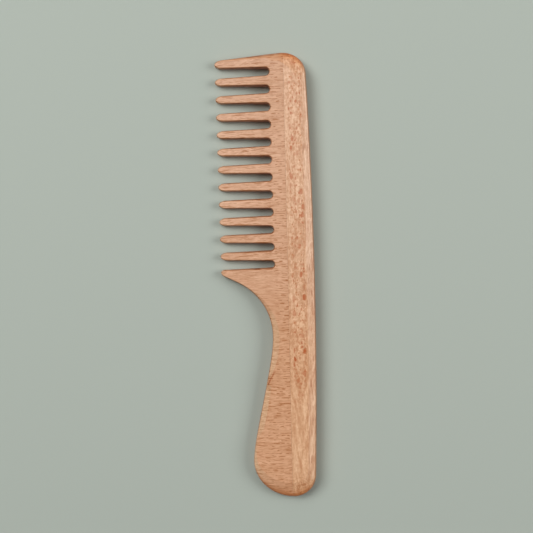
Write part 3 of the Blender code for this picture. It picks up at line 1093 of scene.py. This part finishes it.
def spine_masks(plan):
    """A clear pale strip lies along the glue line, then flecks, then pores and fibres at the back."""
    across = across_the_comb(plan)
    height = split(plan)["Y"]
    past_strip = fade(across, 1.2, 2.1)
    before_back = fade(across, 8.2, 6.6, first=0.25)
    flecked = fade(height, 34.0, 62.0, first=0.22)
    above_handle = fade(height, 30.0, 80.0, first=0.25, last=0.5)
    fibres = fade(across, 5.0, 7.5, first=0.6, last=1.2)

    # Down the handle the rings are cut slantwise, and meet in long points
    arrow = height - abs(across - ARROW_MIDDLE) * ARROW_SLOPE
    points = noise(join(arrow * 0.12, across * 0.2), detail=1.0)
    points = fade(points, 0.42, 0.58, first=-0.2, last=0.2) * fade(height, 66.0, 50.0)

    # At the foot one ring only just breaks the surface, and shows as an uneven eye with loops round it
    from_eye = join(across - EYE_ACROSS, (height - EYE_HEIGHT) * EYE_FLATNESS)
    from_eye = calculate("LENGTH", from_eye) + waver(plan * (0.45, 0.45, 0.45), EYE_UNEVENNESS)
    loops = calculate("SINE", from_eye * EYE_LOOPS) * fade(from_eye, 8.0, 3.0, last=0.2)
    eye = fade(from_eye, 1.6, 0.7, last=0.9)
    return {
        "Ray Mask": past_strip * before_back * flecked,
        "Pore Mask": fade(across, 5.0, 8.0, first=0.15),
        "Fibre Strength": fibres * fade(height, 50.0, 80.0, first=0.8),
        "Patch Strength": above_handle * before_back,
        "Figure": points * past_strip + loops + eye + fade(across, 1.0, 2.2, last=0.05),
    }


# %% The two cuts of beech: the tilt is in degrees and the offset in millimetres
board_beech = beech_material(
    "board_beech", board_masks,
    order=("X", "Z", "Y"), tilt=(0.0, 4.0, 0.0), offset=(40.0, 9.0, 21.0),
    values={
        "Pale": (0.735, 0.415, 0.255, 1.0),
        "Deep": (0.575, 0.295, 0.155, 1.0),
        "Patch Size": (4.5, 6.0, 0.7),
        "Ray": (0.37, 0.12, 0.02, 1.0),
        "Ray Size": (4.4, 20.0, 0.4),
        "Ray Share": 0.16,
        "Ray Mask": 1.0,
        "Fleck Size": (8.0, 20.0, 0.4),
        "Fleck Share": 0.08,
        "Lace": (0.40, 0.135, 0.035, 1.0),
        "Lace Size": (2.2, 8.0, 0.4),
        "Lace Share": 0.25,
        "Lace Strength": 0.5,
        "Fibre Strength": 0.75,
        "Pore": (0.42, 0.145, 0.04, 1.0),
        "Pore Size": (6.5, 1.2, 0.42),
        "Pore Share": 0.4,
        "Pore Strength": 0.5,
        # The bevels' tint is a painted sheen
        "Bevel Sheen Tint": (1.11, 1.28, 1.35, 1.0),
    },
)
spine_beech = beech_material(
    "spine_beech", spine_masks,
    order=("Y", "X", "Z"), tilt=(1.0, -9.0, 0.0), offset=(3.0, 0.0, 5.0),
    values={
        "Pale": (0.86, 0.55, 0.35, 1.0),
        "Deep": (0.56, 0.265, 0.13, 1.0),
        "Patch Size": (1.3, 1.0, 0.85),
        "Ray": (0.44, 0.085, 0.005, 1.0),
        "Ray Size": (3.2, 1.9, 1.6),
        "Ray Share": 0.26,
        "Fleck Size": (1.6, 1.0, 0.9),
        "Fleck Share": 0.34,
        "Lace": (0.48, 0.13, 0.015, 1.0),
        "Lace Size": (1.0, 0.8, 0.7),
        "Lace Share": 0.45,
        "Lace Strength": 0.75,
        "Pore": (0.38, 0.12, 0.045, 1.0),
        "Pore Size": (5.5, 0.55, 0.55),
        "Pore Share": 0.4,
        "Pore Strength": 0.8,
        # The bevels' tint is a painted sheen
        "Bevel Sheen Tint": (0.98, 1.02, 1.1, 1.0),
    },
)

# %% Give the boards their wood and their place in the frame
for piece, material, node, slot in (
    (tooth_board, board_beech, "tooth_board", "board_wood"),
    (spine, spine_beech, "spine", "spine_wood"),
):
    piece.data.materials.clear()
    piece.data.materials.append(material)
    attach(piece, "root")
    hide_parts(node)
    print(piece.name, "stands for", node, "in", material.name)

# %% [markdown]
# ## Floor and light
# The comb lies on a plain pale floor, in even, soft light. One lamp would leave the slots black or the
# floor flat, so there are three broad ones: the strongest from the left and the head, a lower one from
# the right, and a weak one from beyond the head. A faint pale world fills in the rest. The floor has to
# end somewhere, so far from the comb it runs into a backdrop of its own colour. Only the camera, gloss and
# glass see that colour, and it lights nothing.

# %% Floor
FLOOR_SIDE = 6.0
FLOOR_COLOUR = (0.435, 0.48, 0.425, 1.0)
FLOOR_ROUGHNESS = 0.9
BACKDROP_COLOUR = (0.435, 0.475, 0.42, 1.0)
BACKDROP_START = 0.35
BACKDROP_FULL = 1.1


def seen_directly(tree):
    """1 for the rays that come straight from the camera or by way of a gloss or glass, else 0."""
    path = add(tree, "LightPath")
    camera_ray, glossy_ray, clear_ray = [
        Value(path.outputs["Is " + kind + " Ray"]) for kind in ("Camera", "Glossy", "Transmission")
    ]
    return calculate("MAXIMUM", calculate("MAXIMUM", camera_ray, glossy_ray), clear_ray)


def mix_shaders(share, first, second, end):
    """Feeds the end of a tree from two shaders, mixed by a share."""
    mixed = add(share.tree, "MixShader")
    for socket, source in zip(mixed.inputs, (share, Value(first.outputs[0]), Value(second.outputs[0]))):
        feed(socket, source)
    feed(share.tree.nodes[end].inputs["Surface"], Value(mixed.outputs[0]))


bpy.ops.object.select_all(action="DESELECT")
bpy.ops.mesh.primitive_plane_add(size=FLOOR_SIDE, location=(0.0, 0.0, 0.0))
floor = bpy.context.object
floor.name = "floor"
floor_paint = bpy.data.materials.new("floor_paint")
floor_paint.use_nodes = True
floor_tree = floor_paint.node_tree
floor_shader = floor_tree.nodes["Principled BSDF"]
floor_shader.inputs["Base Color"].default_value = FLOOR_COLOUR
floor_shader.inputs["Roughness"].default_value = FLOOR_ROUGHNESS
haze = add(floor_tree, "Emission")
haze.inputs["Color"].default_value = BACKDROP_COLOUR
far_off = calculate("LENGTH", Value(add(floor_tree, "TexCoord").outputs["Object"]))
haze_share = fade(far_off, BACKDROP_START, BACKDROP_FULL) * seen_directly(floor_tree)
mix_shaders(haze_share, floor_shader, haze, "Material Output")
floor.data.materials.append(floor_paint)
print("nodes of the floor's paint:", len(floor_tree.nodes))

# %% Lamps: place, side in metres and power in watts
LAMPS = {
    "lamp_over_head": ((-0.07, 0.98, 1.05), 0.8, 2.6),
    "lamp_right": ((0.99, 0.13, 0.76), 0.7, 7.8),
    "lamp_left": ((-0.63, 0.46, 1.06), 0.7, 11.7),
}
for name, (place, side, power) in LAMPS.items():
    lamp_data = bpy.data.lights.new(name, "AREA")
    lamp_data.size = side
    lamp_data.energy = power
    lamp = bpy.data.objects.new(name, lamp_data)
    lamp.location = place
    lamp.rotation_euler = (-Vector(place)).to_track_quat("-Z", "Y").to_euler()
    bpy.context.scene.collection.objects.link(lamp)
    print(name, "is", round(lamp.location.length, 2), "m from the comb")

# %% World
ROOM_COLOUR = (0.95, 0.97, 1.0, 1.0)
ROOM_STRENGTH = 0.07

world = bpy.data.worlds.new("pale_room")
bpy.context.scene.world = world
world.use_nodes = True
world_tree = world.node_tree
room = world_tree.nodes["Background"]
room.inputs["Color"].default_value = ROOM_COLOUR
room.inputs["Strength"].default_value = ROOM_STRENGTH
backdrop = add(world_tree, "Background")
backdrop.inputs["Color"].default_value = BACKDROP_COLOUR
mix_shaders(seen_directly(world_tree), room, backdrop, "World Output")
bpy.context.scene.view_settings.view_transform = "Standard"
